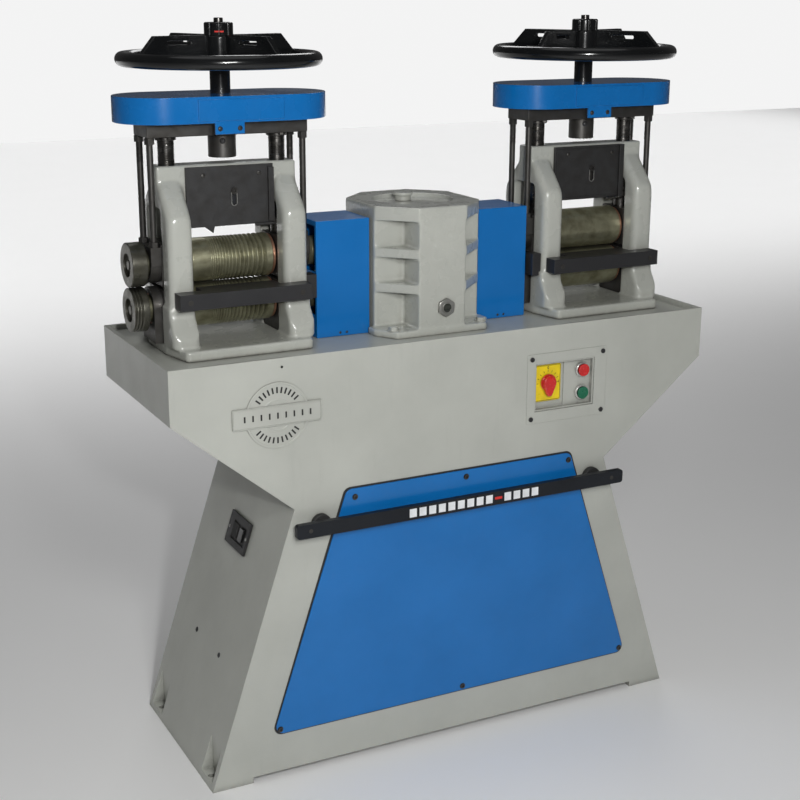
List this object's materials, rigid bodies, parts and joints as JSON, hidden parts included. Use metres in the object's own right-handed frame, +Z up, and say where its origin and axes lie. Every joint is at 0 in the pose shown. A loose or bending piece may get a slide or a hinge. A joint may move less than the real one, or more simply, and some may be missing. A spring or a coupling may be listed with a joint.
{
  "type": "double-head rolling mill",
  "caption": "Floor-standing powered rolling mill for jewellery work: T-shaped stand, gearbox tower and two roll heads, each screwed down by a handwheel.",
  "frame": {"origin": "on the floor under the middle of the stand, at the centre of its four anchor holes", "axes": "+X along the machine towards the switches, +Y to the back, +Z up"},
  "size_m": [1.206, 0.433, 1.445],
  "materials": {
    "grey_paint": "satin enamel",
    "blue_paint": "gloss enamel",
    "black_paint": "gloss enamel",
    "rubber_seal": "matt",
    "black_plastic": "matt",
    "bright_steel": "plated",
    "yellow_plastic": "gloss",
    "red_plastic": "gloss",
    "green_plastic": "gloss",
    "dark_steel": "blackened",
    "bronze": "machined",
    "roll_steel": "ground and oiled"
  },
  "bodies": {
    "stand": {"stand_body": "grey_paint", "badge_disc": "grey_paint", "power_inlet": "black_plastic", "front_panel": "blue_paint", "panel_gasket": "rubber_seal", "control_plate": "grey_paint", "isolator_plate": "yellow_plastic", "button_collars": "bright_steel", "bar_standoffs": "black_paint", "gearbox_tower": "grey_paint", "filler_plug": "grey_paint", "sight_glass": "bright_steel", "guard_left": "blue_paint", "guard_right": "blue_paint", "guard_brackets": "black_paint", "housing_left": "grey_paint", "front_plate_left": "dark_steel", "feed_table_left": "black_paint", "lower_chocks_left": "dark_steel", "lower_bushes_left": "bronze", "housing_right": "grey_paint", "front_plate_right": "dark_steel", "feed_table_right": "black_paint", "lower_chocks_right": "dark_steel", "lower_bushes_right": "bronze"},
    "screwdown_left": {"crosshead_left": "dark_steel", "gear_cover_left": "blue_paint", "pressure_screws_left": "dark_steel", "hanger_rods_left": "dark_steel", "upper_chocks_left": "dark_steel", "upper_bushes_left": "bronze"},
    "wheel_left": {"handwheel_left": "black_paint"},
    "screwdown_right": {"crosshead_right": "dark_steel", "gear_cover_right": "blue_paint", "pressure_screws_right": "dark_steel", "hanger_rods_right": "dark_steel", "upper_chocks_right": "dark_steel", "upper_bushes_right": "bronze"},
    "wheel_right": {"handwheel_right": "black_paint"},
    "roll_upper_left": {"upper_roll_left": "roll_steel", "upper_disc_left": "roll_steel"},
    "roll_lower_left": {"lower_roll_left": "roll_steel", "lower_disc_left": "roll_steel"},
    "roll_upper_right": {"upper_roll_right": "roll_steel"},
    "roll_lower_right": {"lower_roll_right": "roll_steel"},
    "push_bar": {"emergency_bar": "black_paint"},
    "start_plunger": {"start_button": "green_plastic"},
    "stop_plunger": {"stop_button": "red_plastic"},
    "isolator_handle": {"isolator_knob": "red_plastic"}
  },
  "joints": [
    {"name": "crosshead_left", "type": "slide", "parent": "stand", "child": "screwdown_left", "axis": [0, 0, 1], "range_m": [-0.001, 0.01]},
    {"name": "wheel_left", "type": "hinge", "parent": "screwdown_left", "child": "wheel_left", "pos_m": [-0.4, 0, 1.373], "axis": [0, 0, 1], "range_deg": [-144, 1440]},
    {"name": "crosshead_right", "type": "slide", "parent": "stand", "child": "screwdown_right", "axis": [0, 0, 1], "range_m": [-0.001, 0.01]},
    {"name": "wheel_right", "type": "hinge", "parent": "screwdown_right", "child": "wheel_right", "pos_m": [0.4, 0, 1.373], "axis": [0, 0, 1], "range_deg": [-144, 1440]},
    {"name": "roll_lower_left", "type": "hinge", "parent": "stand", "child": "roll_lower_left", "pos_m": [-0.4, 0, 0.92075], "axis": [1, 0, 0], "continuous": true},
    {"name": "roll_upper_left", "type": "hinge", "parent": "screwdown_left", "child": "roll_upper_left", "pos_m": [-0.4, 0, 1.00525], "axis": [1, 0, 0], "continuous": true},
    {"name": "roll_lower_right", "type": "hinge", "parent": "stand", "child": "roll_lower_right", "pos_m": [0.4, 0, 0.92075], "axis": [1, 0, 0], "continuous": true},
    {"name": "roll_upper_right", "type": "hinge", "parent": "screwdown_right", "child": "roll_upper_right", "pos_m": [0.4, 0, 1.00525], "axis": [1, 0, 0], "continuous": true},
    {"name": "push_bar", "type": "slide", "parent": "stand", "child": "push_bar", "axis": [0, 1, 0], "range_m": [0, 0.006], "stiffness_N_per_m": 2000},
    {"name": "start_button", "type": "slide", "parent": "stand", "child": "start_plunger", "axis": [0, 1, 0], "range_m": [0, 0.004], "stiffness_N_per_m": 600},
    {"name": "stop_button", "type": "slide", "parent": "stand", "child": "stop_plunger", "axis": [0, 1, 0], "range_m": [0, 0.004], "stiffness_N_per_m": 600},
    {"name": "isolator", "type": "hinge", "parent": "stand", "child": "isolator_handle", "pos_m": [0.211, -0.19, 0.73], "axis": [0, 1, 0], "range_deg": [0, 90]}
  ],
  "couplings": [
    {"joint": "crosshead_left", "follows": "wheel_left", "m_per_rad": 0.00039788},
    {"joint": "crosshead_right", "follows": "wheel_right", "m_per_rad": 0.00039788},
    {"joint": "roll_upper_left", "follows": "roll_lower_left", "ratio": -1},
    {"joint": "roll_lower_right", "follows": "roll_lower_left", "ratio": 1},
    {"joint": "roll_upper_right", "follows": "roll_lower_left", "ratio": -1}
  ]
}
